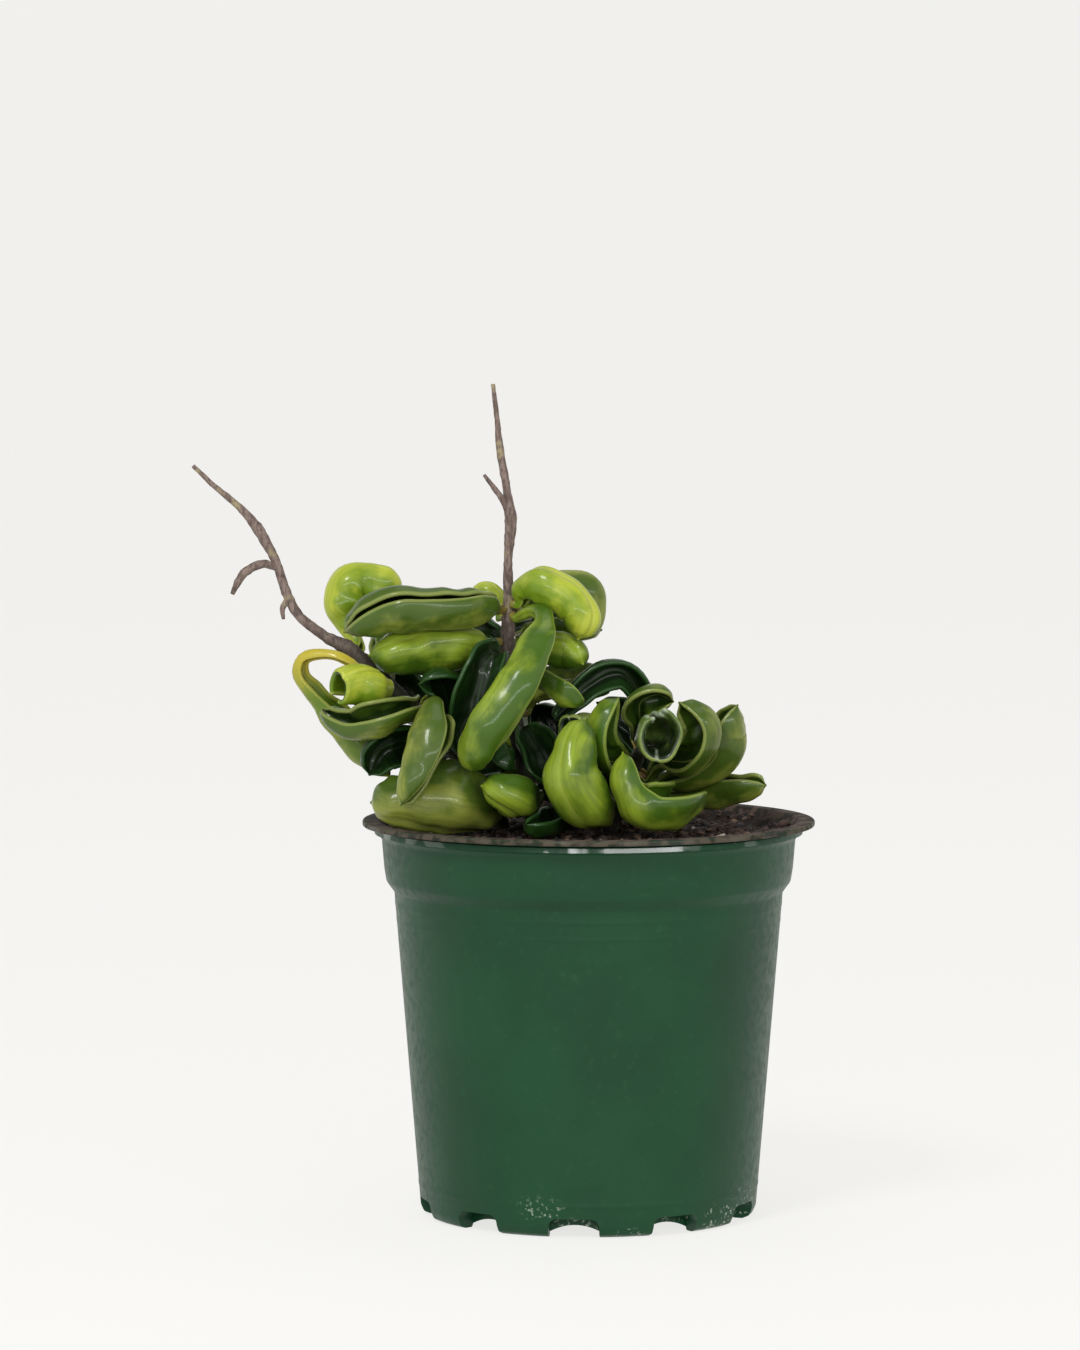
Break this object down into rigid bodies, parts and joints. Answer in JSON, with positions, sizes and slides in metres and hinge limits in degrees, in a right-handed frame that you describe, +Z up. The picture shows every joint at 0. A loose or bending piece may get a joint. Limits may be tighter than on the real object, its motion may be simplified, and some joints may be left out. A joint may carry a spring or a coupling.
{
  "type": "potted hindu rope plant",
  "caption": "Small waxy vine with tightly curled, folded leaves crowded on woody stems, growing in a round green nursery pot filled with potting mix.",
  "frame": {"origin": "middle of the bottom of the whole plant's bounding box, level with the foot of the pot", "axes": "+Z up along the pot's axis, which stands 20 mm to the +X side of the origin; -Y is the side seen in the picture; +X is the side away from the long twig"},
  "size_m": [0.1486, 0.108, 0.1986],
  "materials": {
    "pot": "satin, thin moulded plastic",
    "potting_mix": "rough, crumbly",
    "bark": "matt, finely wrinkled",
    "leaf": "waxy, glossy",
    "leaf_inner": "waxy, glossy"
  },
  "bodies": {
    "root": {"pot": "pot", "soil": "potting_mix", "stem_left": "bark", "stem_centre": "bark", "stem_right": "bark", "leaf_arch": "leaf_inner", "leaf_back_centre_1": "leaf", "leaf_back_centre_2": "leaf", "leaf_back_centre_3": "leaf", "leaf_back_centre_4": "leaf", "leaf_back_centre_5": "leaf", "leaf_back_left_1": "leaf", "leaf_back_left_2": "leaf", "leaf_back_left_3": "leaf", "leaf_back_left_4": "leaf", "leaf_back_right_1": "leaf", "leaf_back_right_2": "leaf", "leaf_banana": "leaf", "leaf_behind": "leaf", "leaf_bulb": "leaf", "leaf_bulge": "leaf", "leaf_bump": "leaf", "leaf_crest": "leaf", "leaf_cup": "leaf", "leaf_curl": "leaf", "leaf_fold": "leaf", "leaf_foot_dark": "leaf_inner", "leaf_funnel": "leaf", "leaf_hollow": "leaf_inner", "leaf_hook": "leaf", "leaf_inner_behind_left": "leaf_inner", "leaf_inner_behind_right": "leaf_inner", "leaf_inner_behind_slit": "leaf_inner", "leaf_inner_behind_top": "leaf_inner", "leaf_inner_dark": "leaf_inner", "leaf_inner_left": "leaf_inner", "leaf_inner_low": "leaf_inner", "leaf_inner_middle": "leaf_inner", "leaf_inner_right": "leaf_inner", "leaf_inner_rosette": "leaf_inner", "leaf_large": "leaf", "leaf_lobe": "leaf", "leaf_low_right": "leaf", "leaf_pale_edge": "leaf", "leaf_rim": "leaf", "leaf_ring": "leaf", "leaf_side_lobe": "leaf", "leaf_slit": "leaf", "leaf_small_edge": "leaf", "leaf_upper_lobe": "leaf", "leaf_upright": "leaf", "leaf_wave_left": "leaf", "leaf_wave_right": "leaf"}
  },
  "joints": []
}
